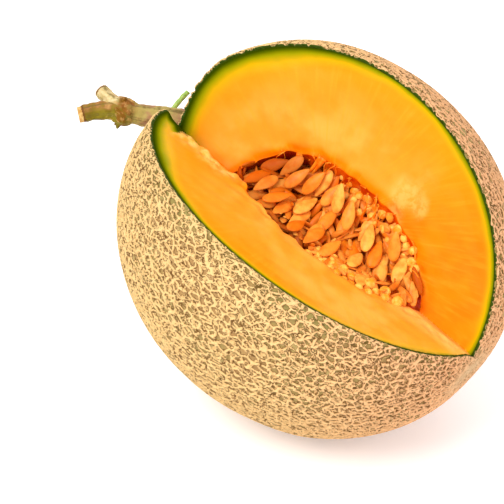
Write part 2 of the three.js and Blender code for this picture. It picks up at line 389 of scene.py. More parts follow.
def reach_skin(directions, grow):
    """How far rays from the valley's middle run to the skin."""
    start = np.array(VALLEY_PLACE)
    heads = directions @ VALLEY_AXES.T
    low = np.zeros(directions.shape[:-1])
    high = np.full(directions.shape[:-1], 2 * FRUIT_HALF_LENGTH)
    for _ in range(34):
        middle = (low + high) / 2
        inside = skin_value(start + heads * middle[..., None], grow) < 0
        low = np.where(inside, middle, low)
        high = np.where(inside, high, middle)
    return (low + high) / 2


# ---- noise for shapes ----

def waves(points, size, seed):
    """Smooth noise of about -1 to 1 over points: a sum of sines in seeded directions."""
    chance = np.random.default_rng(seed)
    total = np.zeros(points.shape[:-1])
    count = 9
    for _ in range(count):
        direction = chance.normal(size=3)
        direction *= chance.uniform(0.6, 1.5) / np.linalg.norm(direction)
        total += np.sin(points @ direction * (2 * math.pi / size) + chance.uniform(0, 2 * math.pi))
    return total / math.sqrt(count)


# ---- node trees ----

class Tree:
    """Adds nodes to a tree, each fed from values or from other nodes' outputs."""

    def __init__(self, tree):
        self.tree = tree

    def add(self, kind, feeds=None, **settings):
        node = self.tree.nodes.new(kind)
        for key, value in settings.items():
            setattr(node, key, value)
        self.feed(node, feeds or {})
        return node

    def feed(self, node, feeds):
        """Gives each input of a node its value, or links it to another node's output."""
        for key, value in feeds.items():
            if isinstance(value, bpy.types.NodeSocket):
                self.tree.links.new(value, node.inputs[key])
            else:
                node.inputs[key].default_value = value

    def math(self, operation, *values):
        feeds = dict(enumerate(values))
        return self.add("ShaderNodeMath", feeds, operation=operation).outputs[0]

    def times(self, first, second):
        return self.math("MULTIPLY", first, second)

    def vector(self, operation, *values):
        feeds = dict(enumerate(values))
        if operation == "SCALE":
            feeds["Scale"] = feeds.pop(1)
        return self.add("ShaderNodeVectorMath", feeds, operation=operation).outputs[0]

    def ramp(self, value, low, high, start=0.0, end=1.0, smooth=True):
        node = self.add("ShaderNodeMapRange", {0: value, 1: low, 2: high, 3: start, 4: end})
        node.interpolation_type = "SMOOTHSTEP" if smooth else "LINEAR"
        return node.outputs[0]

    def noise(self, place, size, detail, rough=0.5, output=0):
        feeds = {"Vector": place, "Scale": 1 / size, "Detail": detail, "Roughness": rough}
        return self.add("ShaderNodeTexNoise", feeds).outputs[output]

    def mix(self, share, first, second):
        feeds = {0: share, 6: first, 7: second}
        return self.add("ShaderNodeMix", feeds, data_type="RGBA").outputs[2]

    def fade(self, value, low, high, first, second):
        """A colour that goes from the first to the second as a value rises from low to high."""
        return self.mix(self.ramp(value, low, high), first, second)

    def colours(self, value, stops):
        node = self.add("ShaderNodeValToRGB", {0: value})
        band = node.color_ramp
        while len(band.elements) < len(stops):
            band.elements.new(0.5)
        for element, (place, colour) in zip(band.elements, stops):
            element.position = place
            element.color = colour
        return node.outputs[0]

    def cell_edges(self, place, size):
        """How far a place lies from the edges between scattered cells, in cell sizes."""
        feeds = {"Vector": place, "Scale": 1 / size}
        cells = self.add("ShaderNodeTexVoronoi", feeds, feature="DISTANCE_TO_EDGE")
        return cells.outputs["Distance"]

    def attribute(self, name):
        return self.add("ShaderNodeAttribute", attribute_name=name).outputs["Fac"]

    def stored(self, name, kind):
        """What each point keeps under a name, in a tree of geometry."""
        node = self.add("GeometryNodeInputNamedAttribute", {"Name": name}, data_type=kind)
        return node.outputs["Attribute"]

    def close(self, geometry, material):
        """Ends a node tree with real, painted geometry."""
        real = self.add("GeometryNodeRealizeInstances", {"Geometry": geometry})
        feeds = {"Geometry": real.outputs[0], "Material": material}
        painted = self.add("GeometryNodeSetMaterial", feeds)
        self.add("NodeGroupOutput", {"Geometry": painted.outputs[0]})


def paint(red, green, blue):
    """A shader colour from its everyday 0 to 255 values."""
    shares = (red / 255, green / 255, blue / 255)
    return (*(((c + 0.055) / 1.055) ** 2.4 if c > 0.04045 else c / 12.92 for c in shares), 1)


def let_light_in(tree, shader, share, reach):
    """Lets warm light scatter a little way through the surface."""
    tree.feed(shader, {"Subsurface Weight": share, "Subsurface Radius": (1.0, 0.4, 0.1),
                       "Subsurface Scale": reach})


def roughen(tree, shader, height, strength, distance):
    """Gives the surface a fine relief."""
    feeds = {"Height": height, "Strength": strength, "Distance": distance}
    tree.feed(shader, {"Normal": tree.add("ShaderNodeBump", feeds).outputs[0]})


def new_node_group(name, inputs):
    """A tree of geometry with named inputs, each with its kind, and its input node's outputs."""
    group = bpy.data.node_groups.new(name, "GeometryNodeTree")
    sockets = [("Geometry", "INPUT", "Geometry"), ("Geometry", "OUTPUT", "Geometry")]
    sockets[1:1] = [(label, "INPUT", kind) for label, kind in inputs.items()]
    for label, way, kind in sockets:
        group.interface.new_socket(label, in_out=way, socket_type=f"NodeSocket{kind}")
    tree = Tree(group)
    return group, tree, tree.add("NodeGroupInput").outputs


def new_material(name):
    material = bpy.data.materials.new(name)
    material.use_nodes = True
    tree = Tree(material.node_tree)
    shader = material.node_tree.nodes["Principled BSDF"]
    place = tree.add("ShaderNodeTexCoord").outputs["Object"]
    return material, tree, shader, place


# ---- the corky net ----

def fruit_place(tree, place, along_share):
    """The place in the fruit's own frame, shortened along the core by a share."""
    moved = tree.vector("SUBTRACT", place, tuple(FRUIT_MIDDLE))
    parts = []
    for axis, share in zip(FRUIT_AXES.T, (1, along_share, 1)):
        feeds = {0: moved, 1: tuple(axis * share)}
        dot = tree.add("ShaderNodeVectorMath", feeds, operation="DOT_PRODUCT")
        parts.append(dot.outputs["Value"])
    return tree.add("ShaderNodeCombineXYZ", dict(enumerate(parts))).outputs[0]


def net_pattern(tree, place):
    """How high the net stands, 0 in its cells and 1 on its cords. Works in both kinds of tree."""
    drawn = fruit_place(tree, place, NET_SHORTENING)
    bend = tree.noise(drawn, BEND_SIZE, 2, output="Color")
    centred = tree.vector("SUBTRACT", bend, (0.5, 0.5, 0.5))
    bent = tree.vector("ADD", drawn, tree.vector("SCALE", centred, BEND_REACH))
    width_noise = tree.noise(drawn, 2.6 * MM, 2)
    width = tree.ramp(width_noise, 0.34, 0.62, 0.18, 0.24)
    whole = tree.ramp(tree.noise(drawn, 1.9 * MM, 1), 0.3, 0.42, 0.25, 1.0)
    from_edge = tree.math("DIVIDE", tree.cell_edges(bent, NET_CELL), width)
    cord = tree.ramp(from_edge, 0.1, 1.15, 1.0, 0.0)
    cord = tree.times(cord, whole)
    gate = tree.ramp(tree.noise(drawn, 4 * MM, 1), 0.52, 0.64, 0.0, 0.75)
    thread = tree.ramp(tree.cell_edges(bent, THREAD_CELL), 0.02, 0.16, 1.0, 0.0)
    thread = tree.times(thread, gate)
    return tree.math("MAXIMUM", cord, thread)


def net_tree():
    """Raises the net on the points whose `skin` is 1, along their `outward`, and presses the
    fruit flat where it meets the floor."""
    group, tree, start = new_node_group("raise_net", {"Net Height": "Float", "Skin": "Material"})
    place = tree.add("GeometryNodeInputPosition").outputs[0]
    outward = tree.stored("outward", "FLOAT_VECTOR")
    lift = tree.math("SUBTRACT", net_pattern(tree, place), NET_SINK)
    lift = tree.times(lift, start["Net Height"])
    lift = tree.times(lift, tree.stored("skin", "FLOAT"))
    feeds = {"Geometry": start["Geometry"], "Offset": tree.vector("SCALE", outward, lift)}
    raised = tree.add("GeometryNodeSetPosition", feeds).outputs[0]
    above_floor = tree.vector("MAXIMUM", place, (-1, -1, 0))
    feeds = {"Geometry": raised, "Position": above_floor}
    tree.close(tree.add("GeometryNodeSetPosition", feeds).outputs[0], start["Skin"])
    return group


def keep_result(piece, modifier):
    """Keeps what a modifier makes of a piece as its plain mesh."""
    bpy.context.view_layer.update()
    evaluated = piece.evaluated_get(bpy.context.evaluated_depsgraph_get())
    mesh = bpy.data.meshes.new_from_object(evaluated)
    piece.modifiers.remove(modifier)
    piece.data = mesh


def run_nodes(piece, group, **values):
    """Runs a node tree on a piece and keeps the result as its plain mesh."""
    modifier = piece.modifiers.new(group.name, "NODES")
    modifier.node_group = group
    for item in group.interface.items_tree:
        key = item.name.lower().replace(" ", "_")
        if item.in_out == "INPUT" and key in values:
            modifier[item.identifier] = values[key]
    keep_result(piece, modifier)


def rind_material():
    material, tree, shader, place = new_material("netted_rind")
    net = net_pattern(tree, place)
    patches = tree.noise(place, 26 * MM, 2)
    grain = tree.noise(place, 0.8 * MM, 3, 0.6)
    across = tree.add("ShaderNodeSeparateXYZ", {0: place}).outputs["X"]
    # Painted pinkish light: the cords go from cream on the left to peach towards +X.
    pink_light_share = tree.ramp(across, -45 * MM, 55 * MM)
    cell = tree.fade(patches, 0.38, 0.62, paint(164, 144, 90), paint(176, 140, 92))
    cell = tree.mix(tree.ramp(grain, 0.35, 0.7, 0.0, 0.45), cell, paint(150, 114, 64))
    cord = tree.mix(pink_light_share, paint(230, 194, 132), paint(226, 172, 126))
    cord = tree.mix(tree.ramp(grain, 0.4, 0.72, 0.0, 0.4), cord, paint(196, 146, 88))
    # Painted shade at the feet of the cords: the skin turns brown where a cord rises from it.
    root = tree.fade(net, 0.02, 0.3, cell, paint(104, 70, 32))
    skin = tree.fade(net, 0.28, 0.55, root, cord)
    greenish = tree.ramp(tree.attribute("rim"), 9 * MM, 2 * MM, 0.0, 0.3)
    greenish = tree.times(greenish, tree.ramp(net, 0.5, 0.1))
    skin = tree.mix(greenish, skin, paint(96, 112, 40))
    scar = tree.attribute("scar")
    skin = tree.mix(scar, skin, tree.mix(grain, paint(206, 176, 138), paint(178, 142, 96)))
    colour = tree.fade(tree.attribute("depth"), 0.2 * MM, 0.4 * MM, skin, paint(50, 72, 4))
    tree.feed(shader, {"Base Color": colour, "Roughness": 0.7, "IOR": 1.2})
    relief = tree.math("ADD", net, tree.times(grain, 0.3))
    roughen(tree, shader, relief, 0.7, 0.4 * MM)
    return material


def rind_gore(name, start, end):
    """One gore of skin between two turns about the valley, closed all round."""
    swings = np.linspace(0, math.pi, RIND_ROWS)
    grids = []
    for columns, grow in ((RIND_COLUMNS, 0.0), (INNER_COLUMNS, -RIND_THICKNESS)):
        directions = ray_directions(np.linspace(start, end, columns), swings)
        grids.append(directions * reach_skin(directions, grow)[..., None])
    outer, inner = number_grids(grids)
    faces = np.concatenate([
        strip_faces(outer),
        strip_faces(inner)[:, ::-1],
        strip_faces(np.stack([inner[:, 0], outer[:, 0]], axis=1)),
        strip_faces(np.stack([outer[:, -1], inner[:, -1]], axis=1))])
    place = np.concatenate([grid.reshape(-1, 3) for grid in grids])
    skin = (np.arange(len(place)) < outer.size).astype(float)
    fruit = valley_to_fruit(place)
    outward = skin_outward(fruit) @ FRUIT_AXES.T
    lumps = LUMP_HEIGHT * np.clip(waves(fruit, LUMP_SIZE, 3), -1, 1)
    from_scar = np.hypot(fruit[:, 0] - SCAR_OFFSET[0], fruit[:, 2] - SCAR_OFFSET[1])
    scar = smooth_step(1 - from_scar / SCAR_RADIUS) * (fruit[:, 1] < 0)
    rim = from_cuts(place)
    lumps = lumps * smooth_step(rim / (12 * MM))
    world = valley_to_world(place) + outward * lumps[:, None]
    world[:, 2] = np.maximum(world[:, 2], 0)
    return mesh_object(name, world, faces, outward=outward, skin=skin * (1 - 0.85 * scar),
                       scar=scar, rim=rim, depth=(1 - skin) * RIND_THICKNESS)


def make_rind(material):
    """The skin as gores that each run from the stem end to the blossom end."""
    group = net_tree()
    edges = np.linspace(WEDGE_HALF_ANGLE, 2 * math.pi - WEDGE_HALF_ANGLE, RIND_GORES + 1)
    for number, (start, end) in enumerate(zip(edges[:-1], edges[1:])):
        piece = rind_gore(f"rind_gore_{number + 1}", start, end)
        weld(piece, 0.01 * MM)
        run_nodes(piece, group, net_height=NET_HEIGHT, skin=material)
        finish_piece(piece, "netted_rind", "cut_melon")


# ---- flesh ----

def cavity_reach(directions):
    """How far rays from the valley's middle run to the cavity's wall."""
    radii = np.array([CAVITY_RADIUS, CAVITY_HALF_LENGTH, CAVITY_RADIUS])
    middle = np.array([-VALLEY_PLACE[0], CAVITY_SLIDE, -VALLEY_PLACE[2]])
    head = directions / radii
    start = -middle / radii
    a = (head ** 2).sum(axis=-1)
    b = (head * start).sum(axis=-1)
    c = (start ** 2).sum() - 1
    return (-b + np.sqrt(b ** 2 - a * c)) / a


def trough_height(across):
    """The height of the pulp's rounded trough, by how far across it a point lies."""
    sink = PULP_RECESS / math.sin(WEDGE_HALF_ANGLE)
    centre = PULP_TROUGH_RADIUS / math.sin(WEDGE_HALF_ANGLE) - sink
    side = PULP_TROUGH_RADIUS * math.cos(WEDGE_HALF_ANGLE)
    across = np.abs(across)
    round_part = centre - np.sqrt(np.maximum(PULP_TROUGH_RADIUS ** 2 - across ** 2, 0))
    straight = across / math.tan(WEDGE_HALF_ANGLE) - sink
    return np.where(across < side, round_part, straight)


def cut_face(side, swings):
    """A cut face from the skin to the cavity's edge. side is 1 for the far cut, -1 for the near."""
    directions = ray_directions([side * WEDGE_HALF_ANGLE], swings)[:, 0]
    rim = reach_skin(directions, -RIND_THICKNESS)
    edge = cavity_reach(directions)
    places = directions * edge[:, None]
    ragged = 0.012 * waves(places, 14 * MM, 4 + side) + 0.01 * waves(places, 4.5 * MM, 7 + side)
    edge = edge * (1 + ragged * np.minimum(1, np.sin(swings) * 6))
    share = np.linspace(0, 1, FACE_COLUMNS)[None, :]
    reach = rim[:, None] * (1 - share) + edge[:, None] * share
    points = directions[:, None, :] * reach[..., None]
    from_lip = (1 - share) * (rim - edge)[:, None]
    torn = face_tear(side, points)
    normal = np.array([-side * math.cos(WEDGE_HALF_ANGLE), 0, math.sin(WEDGE_HALF_ANGLE)])
    fade = np.minimum(1, 5 * share) * np.minimum(1, 4 * np.sin(swings))[:, None]
    relief = fade * face_relief(side, points, from_lip, torn)
    pale = face_paleness(side, share, swings[:, None], from_lip)
    return points + normal * relief[..., None], torn, share + 0 * reach, pale


def face_relief(side, points, from_lip, torn):
    """How far a cut face stands out from its plane. It is a little wavy, rolls over at the
    cavity's lip with ridges beside it, and is crumbly where it is torn."""
    relief = 0.5 * MM * waves(points, 42 * MM, 11 + side)
    relief = relief + 0.1 * MM * waves(points, 8 * MM, 21 + side)
    rolled = np.exp(-(from_lip / LIP_ROLL) ** 2)
    relief = relief - rolled * (0.9 * MM + 0.6 * MM * waves(points, 9 * MM, 41 + side))
    ridged = np.exp(-(from_lip / LIP_RIDGES) ** 2)
    relief = relief + ridged * 0.4 * MM * waves(points * (1, 1, 0.35), 9 * MM, 45 + side)
    return relief + torn * 0.45 * MM * waves(points, 6 * MM, 51)


def face_paleness(side, share, swing, from_lip):
    """How pale a cut face's flesh is, from its share of the way to the cavity and its swing
    from the stem end. Below 0 it is deep orange: painted shade on the far cut towards the
    blossom end, and the pulp's juice at the far cut's lip."""
    if side < 0:
        blossom_half = smooth_step((swing - 1.7) / 0.6)
        paler_inside = smooth_step((share + 0.5 * blossom_half - 0.1) / 0.7)
        return paler_inside * smooth_step((swing - 0.5) / 0.5)
    # Towards the blossom end the far cut loses its paleness and turns deep orange: painted shade.
    pale = smooth_step((share - 0.1) / 0.7) * smooth_step((2.4 - swing) / 0.5)
    pale = pale - 0.8 * smooth_step((swing - 2.1) / 0.45)
    blush = np.exp(-(from_lip / LIP_BLUSH) ** 2)
    return pale * (1 - blush) - blush


def face_tear(side, points):
    """Where a cut face is torn rather than sliced, from 0 to 1."""
    across, along, up = points[..., 0], points[..., 1], points[..., 2]
    from_valley = np.hypot(across, up)
    if side < 0:
        ridge = np.exp(-((from_valley - ridge_width(along) - 2 * MM) / (5.5 * MM)) ** 2)
        return ridge * (sum(break_share(along)) * (along < DIMPLE_EDGE))
    far_out, far_along, half_width, half_length = FAR_TEAR
    patch = ((from_valley - far_out) / half_width) ** 2 + ((along - far_along) / half_length) ** 2
    return 0.6 * smooth_step(1.2 - patch + 0.3 * waves(points, 12 * MM, 61))


def pulp_floor(near_edge, far_edge):
    """The cavity's floor, row by row from the near cut's edge to the far cut's edge. It dips
    beside both edges, and scalloped pockets run in under the far one."""
    share = np.linspace(0, 1, FLOOR_COLUMNS)[None, :]
    flat = near_edge[:, None] * (1 - share[..., None]) + far_edge[:, None] * share[..., None]
    width = np.linalg.norm(far_edge - near_edge, axis=-1)[:, None]
    from_near = share * width
    from_far = (1 - share) * width
    along = flat[..., 1]
    room = smooth_step(width / (16 * MM))
    wall = np.exp(-(np.minimum(from_near, from_far) / (1.1 * MM)) ** 2)
    rough = 0.45 * MM * waves(flat, 7 * MM, 31) + 0.3 * MM * waves(flat, 3 * MM, 32)
    stem_half = smooth_step((along + 26 * MM) / (24 * MM))
    dip = 2.4 * MM * np.exp(-(from_far / (4.5 * MM)) ** 2) * stem_half
    dip = dip + 1.6 * MM * np.exp(-(from_near / (3 * MM)) ** 2) * stem_half
    heap = 3.6 * MM * np.exp(-((from_near - 6 * MM) / (6 * MM)) ** 2)
    heap = heap + 2.4 * MM * np.exp(-((from_far - 3 * MM) / (6 * MM)) ** 2)
    floor = trough_height(flat[..., 0]) + rough - 0.5 * MM + (heap * (1 - stem_half) - dip) * room
    points = flat.copy()
    points[..., 2] = np.minimum(wall * flat[..., 2] + (1 - wall) * floor, flat[..., 2])
    scallop = 0.5 + 0.5 * np.cos(along / (0.8 * MM) + 1.5 * np.sin(along / (7 * MM)))
    pocket = np.sin(math.pi * np.clip(from_far / (5 * MM), 0, 1)) * (1 - wall) * room
    deep = POCKET_DEPTH * (0.25 + stem_half + smooth_step((along - 12 * MM) / (14 * MM)))
    points[..., 0] += deep * scallop * pocket
    pocket = np.sin(math.pi * np.clip(from_near / (4 * MM), 0, 1)) * (1 - wall) * room
    points[..., 0] -= 0.5 * POCKET_DEPTH * pocket
    return points


def between(near, far, value=0):
    """The same value all over the floor, except at its two lips, where the faces' values go on."""
    floor = np.full((FLESH_ROWS, FLOOR_COLUMNS), float(value))
    floor[:, 0] = near[:, -1]
    floor[:, -1] = far[:, -1]
    return floor


def make_flesh(material):
    """The flesh as one closed body, and its cavity floor as a bed for loose seeds."""
    swings = np.linspace(0, math.pi, FLESH_ROWS)
    near, near_torn, near_share, near_pale = cut_face(-1, swings)
    far, far_torn, far_share, far_pale = cut_face(1, swings)
    floor = pulp_floor(near[:, -1], far[:, -1])
    turns = np.linspace(WEDGE_HALF_ANGLE, 2 * math.pi - WEDGE_HALF_ANGLE, HIDDEN_COLUMNS)
    directions = ray_directions(turns, swings)
    reach = reach_skin(directions, -RIND_THICKNESS)
    sunk = HIDDEN_SINK * smooth_step(from_cuts(directions * reach[..., None]) / (12 * MM))
    back = directions * (reach - sunk)[..., None]
    grids = [near, floor, far[:, ::-1], back]
    none = [np.zeros(grid.shape[:2]) for grid in grids]
    values = {
        "torn": [near_torn, between(near_torn, far_torn), far_torn[:, ::-1], none[3]],
        "inner": [near_share, none[1] + 1, far_share[:, ::-1], none[3]],
        "pale": [near_pale, between(near_pale, far_pale), far_pale[:, ::-1], none[3]],
        "pulp": [none[0], between(none[0], none[2], 1), none[2], none[3]],
        "swing": [none[i] + swings[:, None] for i in range(4)],
    }
    for key, parts in values.items():
        values[key] = np.concatenate([np.ravel(part) for part in parts])
    place = np.concatenate([grid.reshape(-1, 3) for grid in grids])
    world = valley_to_world(place)
    world[:, 2] = np.maximum(world[:, 2], 0.5 * MM)
    fruit = valley_to_fruit(place)
    from_ridge = np.hypot(place[:, 0], place[:, 2]) - ridge_width(place[:, 1])
    dimple = np.maximum(from_ridge, 0) + 0.8 * np.maximum(DIMPLE_EDGE - place[:, 1], 0)
    dimple = np.where(np.arange(len(place)) < near[..., 0].size, dimple, 1)
    # Painted shade on the pulp floor, in the hollow and beside the two lips.
    values["soaked"] = soaked_share(fruit_to_world(fruit), floor) * values["pulp"]
    band_width = 0.68 + 1.05 * smooth_step((fruit[:, 1] - 8 * MM) / (62 * MM))
    values["depth"] = np.minimum(skin_depth(fruit), dimple) / band_width
    faces = np.concatenate([strip_faces(ids) for ids in number_grids(grids)])
    piece = mesh_object("flesh", world, faces, **values)
    weld(piece, 0.02 * MM)
    piece.data.set_sharp_from_angle(angle=48 * DEGREE)
    piece.data.materials.append(material)
    finish_piece(piece, "flesh", "cut_melon")
    return floor


def flesh_material():
    material, tree, shader, place = new_material("ripe_flesh")
    from_skin = tree.attribute("depth")
    drift = tree.noise(place, 22 * MM, 3)
    wander = tree.ramp(drift, 0.3, 0.7, -1.1 * MM, 1.1 * MM, smooth=False)
    wander = tree.times(wander, tree.ramp(from_skin, 1 * MM, 5 * MM))
    depth = tree.math("ADD", from_skin, wander)
    bands = tree.colours(tree.math("DIVIDE", depth, 20 * MM), [
        (0.05, paint(48, 62, 0)),
        (0.075, paint(80, 90, 0)),
        (0.125, paint(144, 140, 4)),
        (0.2, paint(210, 160, 0)),
        (0.34, paint(240, 143, 0)),
        (1.0, paint(240, 137, 0)),
    ])
    inner = tree.attribute("inner")
    around = tree.times(tree.attribute("swing"), 34)
    inwards = tree.times(inner, 2.4)
    streak_place = tree.add("ShaderNodeCombineXYZ", {0: around, 1: inwards}).outputs[0]
    streaks = tree.noise(streak_place, 1, 3)
    cloudy = tree.noise(place, 15 * MM, 3)
    pale = tree.times(tree.attribute("pale"), tree.ramp(cloudy, 0.35, 0.6, 0.35, 1.0))
    body = tree.mix(tree.math("MAXIMUM", pale, 0.0), bands, paint(248, 168, 66))
    # Deep orange below 0 paleness: painted shade towards the far cut's blossom end, and juice at
    # its lip.
    shade_and_juice_orange = tree.times(tree.math("MINIMUM", pale, 0.0), -1.0)
    shade_and_juice_orange = tree.times(shade_and_juice_orange, tree.ramp(depth, 3 * MM, 8 * MM))
    body = tree.mix(shade_and_juice_orange, body, paint(240, 116, 0))
    inside = tree.ramp(from_skin, 3 * MM, 10 * MM)
    streaked = tree.times(inside, tree.ramp(streaks, 0.45, 0.75, 0.0, 0.4))
    body = tree.mix(streaked, body, paint(246, 158, 30))
    torn = tree.attribute("torn")
    crumbs = tree.noise(place, 3.4 * MM, 3, 0.6)
    crumbled = tree.times(torn, tree.ramp(crumbs, 0.38, 0.58, 0.35, 0.95))
    body = tree.mix(crumbled, body, paint(250, 184, 94))
    wet = tree.noise(place, 5 * MM, 2)
    # The pulp's own red, made darker than it is: partly painted shade between the seeds.
    pulp_colour = tree.fade(wet, 0.35, 0.65, paint(190, 52, 0), paint(226, 98, 0))
    pulp = tree.attribute("pulp")
    # Painted shade: the pulp turns dark red in the hollow and beside the lips.
    pulp_colour = tree.mix(tree.attribute("soaked"), pulp_colour, paint(140, 26, 0))
    tree.feed(shader, {
        "Base Color": tree.mix(pulp, body, pulp_colour),
        "Roughness": tree.ramp(pulp, 0.0, 1.0, 0.46, 0.25),
        "Specular IOR Level": tree.ramp(from_skin, 2 * MM, 6 * MM, 0.0, 0.5),
        "IOR": WET_IOR})
    let_light_in(tree, shader, 0.06, 1.2 * MM)
    fibres = tree.noise(place, 1.6 * MM, 3, 0.6)
    coarse = tree.times(tree.math("MAXIMUM", torn, pulp), 0.5)
    roughen(tree, shader, fibres, tree.math("ADD", 0.18, coarse), 0.35 * MM)
    return material


# ---- seeds ----

def seed_shape():
    """Points and faces of one seed: a flat teardrop with a thin rim, long along +Y, unit sizes
    of one for its length, width and thickness."""
    rounds, rings = 14, 12
    points = [(0, -0.5, 0)]
    for ring in range(1, rings):
        angle = math.pi * ring / rings
        along = -0.5 * math.cos(angle)
        taper = 1 + 0.1 * math.cos(angle) - 0.34 * max(-math.cos(angle), 0)
        radius = 0.5 * math.sin(angle) * taper
        for corner in range(rounds):
            around = 2 * math.pi * corner / rounds
            rim = 0.62 + 0.38 * abs(math.sin(around)) ** 0.5
            high = 0.98 * radius * math.sin(around) * rim
            points.append((radius * math.cos(around), along, high))
    points.append((0, 0.5, 0))
    faces = []
    for corner in range(rounds):
        after = (corner + 1) % rounds
        faces.append((0, 1 + corner, 1 + after))
        for ring in range(rings - 2):
            low = 1 + ring * rounds
            faces.append((low + corner, low + rounds + corner, low + rounds + after, low + after))
        low = 1 + (rings - 2) * rounds
        faces.append((low + corner, len(points) - 1, low + after))
    return np.array(points, dtype=float), faces


def lie_of(node):
    """Where a seed of the frame lies: its middle, its directions and its three sizes."""
    corners = np.array([tuple(v.co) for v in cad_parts[node].data.vertices])
    corners = np.unique(np.round(corners, 7), axis=0)
    spread = np.cov((corners - corners.mean(axis=0)).T)
    _, directions = np.linalg.eigh(spread)
    thin, wide, long = directions.T
    heights = (corners - corners.mean(axis=0)) @ long
    if heights.max() < -heights.min():
        long = -long
    wide = np.cross(long, thin)
    axes = np.stack([wide, long, thin], axis=1)
    local = corners @ axes
    sizes = local.max(axis=0) - local.min(axis=0)
    middle = axes @ ((local.max(axis=0) + local.min(axis=0)) / 2)
    return middle, axes, sizes


def soaked_share(points, floor):
    """How much painted shade darkens things in the cavity: in the hollow and beside the two lips.
    """
    local = fruit_to_valley(world_to_fruit(points))
    across, along = local[:, 0], local[:, 1]
    hollow = hollow_share(across, along) ** 0.8
    order = np.argsort(floor[:, 0, 1])
    from_near = across - np.interp(along, floor[order, 0, 1], floor[order, 0, 0])
    order = np.argsort(floor[:, -1, 1])
    from_far = np.interp(along, floor[order, -1, 1], floor[order, -1, 0]) - across
    near_lip = smooth_step(1.2 - from_near / (6.5 * MM))
    near_lip = near_lip * smooth_step((along + 16 * MM) / (20 * MM))
    far_lip = smooth_step(1.2 - from_far / (6 * MM))
    far_lip = far_lip * smooth_step((-34 * MM - along) / (8 * MM))
    return np.clip(np.maximum(hollow, 0.85 * np.maximum(near_lip, far_lip)), 0, 1)


def make_seeds(floor, material):
    shape, faces = seed_shape()
    chance = np.random.default_rng(5)
    for node in sorted(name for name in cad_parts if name.startswith("seed_")):
        middle, axes, sizes = lie_of(node)
        packed = (shape * sizes) @ axes.T + middle
        points = packed + settle_shift(middle)
        tone = np.full(len(points), chance.uniform())
        # Painted shade for the seed, from where it lies in the cavity.
        soaked = np.full(len(points), soaked_share(packed, floor).mean())
        piece = mesh_object(f"{node}_coat", points, faces, tone=tone, soaked=soaked)
        weld(piece, 0.001 * MM)
        piece.data.materials.append(material)
        finish_piece(piece, "seed", node)


def seed_material():
    material, tree, shader, place = new_material("wet_seed")
    tone = tree.attribute("tone")
    mottle = tree.noise(place, 3 * MM, 2)
    warm = tree.mix(tone, paint(236, 124, 16), paint(254, 184, 80))
    colour = tree.mix(tree.ramp(mottle, 0.35, 0.7, 0.0, 0.6), warm, paint(230, 104, 4))
    soaked = tree.attribute("soaked")
    # Painted shade darkens the seeds in the hollow and beside the lips, and dims their reflection
    # there.
    tree.feed(shader, {
        "Base Color": tree.mix(soaked, colour, paint(166, 60, 0)),
        "Specular IOR Level": tree.ramp(soaked, 0.2, 1.0, 0.5, 0.1),
        "Roughness": 0.34, "IOR": WET_IOR})
    let_light_in(tree, shader, 0.12, 1 * MM)
    return material


# ---- loose seeds, beads and strands ----

def pulp_bed(floor, rows, columns, lift):
    """A strip of the cavity floor, raised a little, to scatter things over."""
    part = floor[rows, columns].copy()
    part[..., 2] += lift
    world = valley_to_world(part.reshape(-1, 3))
    return mesh_object("bed", world, strip_faces(number_grids([part])[0]))


def seed_headings(points):
    """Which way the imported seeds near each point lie."""
    lies = [lie_of(node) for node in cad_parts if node.startswith("seed_")]
    middles = np.array([lie[0] for lie in lies])
    longs = np.array([lie[1][:, 1] for lie in lies])
    apart = np.linalg.norm(points[:, None] - middles[None], axis=-1)
    weight = 1 / (apart + 3 * MM) ** 3
    return (weight[..., None] * longs[None]).sum(axis=1) / weight.sum(axis=1)[:, None]


